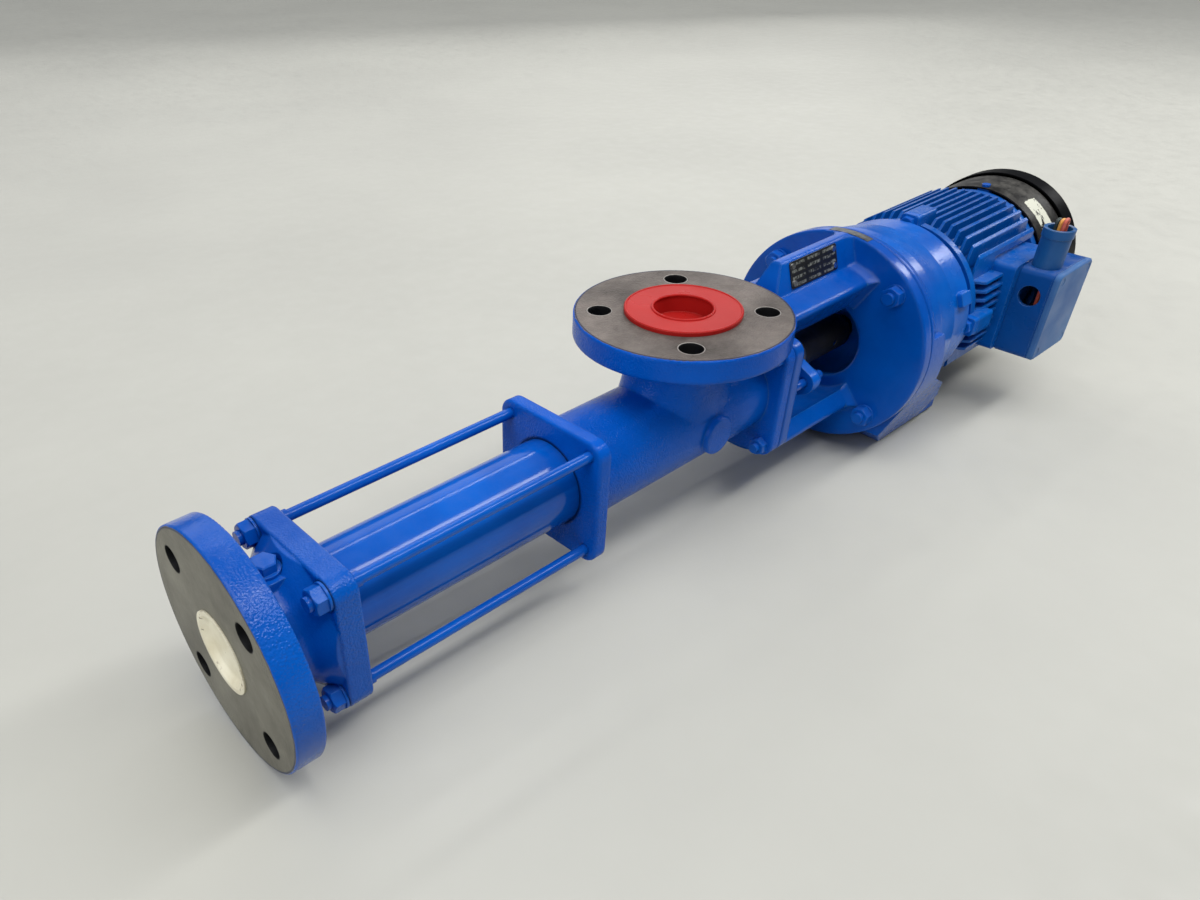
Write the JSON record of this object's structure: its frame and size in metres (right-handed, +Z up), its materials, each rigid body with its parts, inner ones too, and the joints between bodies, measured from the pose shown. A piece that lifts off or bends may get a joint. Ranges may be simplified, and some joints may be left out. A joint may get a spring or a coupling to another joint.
{
  "type": "progressive cavity pump",
  "caption": "Block progressive cavity pump: flanged end cover, tie-rodded stator, flanged suction casing, open lantern with gland, footed ring and finned flange motor on one axis.",
  "frame": {"origin": "centre of the end flange's face, on the pump's axis", "axes": "+X along the axis towards the motor, +Z up along the branch, +Y to the side away from the terminal box"},
  "size_m": [0.9562, 0.22, 0.203],
  "materials": {
    "blue_paint": "gloss paint over sand casting, thick and rippled",
    "painted_fastener": "gloss paint over steel fasteners",
    "spout_paint": "gloss paint, a little faded",
    "stator_rubber": "moulded black rubber",
    "plated_rotor": "hard chrome plate",
    "machined_steel": "turned and ground steel",
    "bearing_steel": "ground bearing steel",
    "black_sleeve": "blackened turned steel",
    "bronze": "turned bronze",
    "packing": "braided graphited yarn",
    "lamination": "stacked electrical sheet",
    "copper": "varnished copper wire",
    "fan_plastic": "moulded black plastic",
    "cowl_grey": "worn satin dark grey paint",
    "canopy_black": "satin black paint",
    "board_resin": "moulded resin",
    "terminal_brass": "turned brass",
    "lead_red": "insulated stranded wire",
    "lead_yellow": "insulated stranded wire",
    "lead_black": "insulated stranded wire",
    "cap_red": "moulded soft plastic",
    "plug_cream": "moulded soft plastic, stained",
    "plate_metal": "printed black and bare metal",
    "rivet_metal": "bare drive rivets"
  },
  "bodies": {
    "pump_body": {"end_cover": "blue_paint", "cover_plug_screw": "painted_fastener", "stator_tube": "blue_paint", "stator_lining": "stator_rubber", "tie_rods": "blue_paint", "tie_rod_nuts": "painted_fastener", "tie_rod_washers": "painted_fastener", "suction_casing": "blue_paint", "seal_housing": "blue_paint", "packing_rings": "packing", "gland_studs": "blue_paint", "lantern": "blue_paint", "casing_studs": "blue_paint", "casing_nuts": "painted_fastener", "support_foot": "blue_paint", "flange_studs": "blue_paint", "flange_nuts": "painted_fastener", "flange_washers": "painted_fastener", "motor_drive_shield": "blue_paint", "motor_rear_shield": "blue_paint", "bearing_outer_rings": "bearing_steel", "motor_frame": "blue_paint", "shield_bolts": "painted_fastener", "stator_core": "lamination", "stator_windings": "copper", "fan_cowl": "cowl_grey", "cowl_screws": "painted_fastener", "rain_canopy": "canopy_black", "canopy_posts": "machined_steel", "terminal_box": "blue_paint", "box_gasket": "stator_rubber", "terminal_box_lid": "blue_paint", "lid_screws": "painted_fastener", "cable_spout": "spout_paint", "terminal_board": "board_resin", "terminal_studs": "terminal_brass", "lead_red": "lead_red", "lead_yellow": "lead_yellow", "lead_black": "lead_black", "nameplate": "plate_metal", "nameplate_rivets": "rivet_metal"},
    "drive": {"motor_shaft": "machined_steel", "cage_rotor": "lamination", "cooling_fan": "fan_plastic", "shaft_key": "machined_steel", "shaft_cross_pin": "machined_steel", "drive_shaft": "black_sleeve", "thrower_ring": "bronze", "drive_joint_pin": "machined_steel", "bearing_inner_rings": "bearing_steel"},
    "orbit": {"rotor_joint_ring": "machined_steel"},
    "rotor": {"rotor": "plated_rotor", "rotor_joint_pin": "machined_steel"},
    "coupling": {"coupling_rod": "machined_steel", "coupling_bushes": "bronze"},
    "ball_set": {"bearing_balls": "bearing_steel"},
    "gland": {"gland_follower": "blue_paint", "gland_nuts": "painted_fastener"},
    "branch_cap": {"branch_cap": "cap_red"},
    "end_plug": {"end_plug": "plug_cream"}
  },
  "joints": [
    {"name": "drive_spin", "type": "hinge", "parent": "pump_body", "child": "drive", "pos_m": [0, 0, 0], "axis": [1, 0, 0], "continuous": true},
    {"name": "rotor_orbit", "type": "hinge", "parent": "pump_body", "child": "orbit", "pos_m": [0, 0, 0], "axis": [1, 0, 0], "continuous": true},
    {"name": "rotor_spin", "type": "hinge", "parent": "orbit", "child": "rotor", "pos_m": [0, 0.0045, 0], "axis": [1, 0, 0], "continuous": true},
    {"name": "coupling_rod_spin", "type": "hinge", "parent": "orbit", "child": "coupling", "pos_m": [0.319, 0.0045, 0], "axis": [0.9993, -0.0363, 0], "continuous": true},
    {"name": "ball_orbit", "type": "hinge", "parent": "pump_body", "child": "ball_set", "pos_m": [0, 0, 0], "axis": [1, 0, 0], "continuous": true},
    {"name": "gland_adjust", "type": "slide", "parent": "pump_body", "child": "gland", "axis": [1, 0, 0], "range_m": [0, 0.006]},
    {"name": "branch_cap_lift", "type": "slide", "parent": "pump_body", "child": "branch_cap", "axis": [0, 0, 1], "range_m": [0, 0.03]},
    {"name": "end_plug_pull", "type": "slide", "parent": "pump_body", "child": "end_plug", "axis": [-1, 0, 0], "range_m": [0, 0.03]}
  ],
  "couplings": [
    {"joint": "rotor_orbit", "follows": "drive_spin", "ratio": -1},
    {"joint": "rotor_spin", "follows": "drive_spin", "ratio": 2},
    {"joint": "coupling_rod_spin", "follows": "drive_spin", "ratio": 2},
    {"joint": "ball_orbit", "follows": "drive_spin", "ratio": 0.3806}
  ]
}
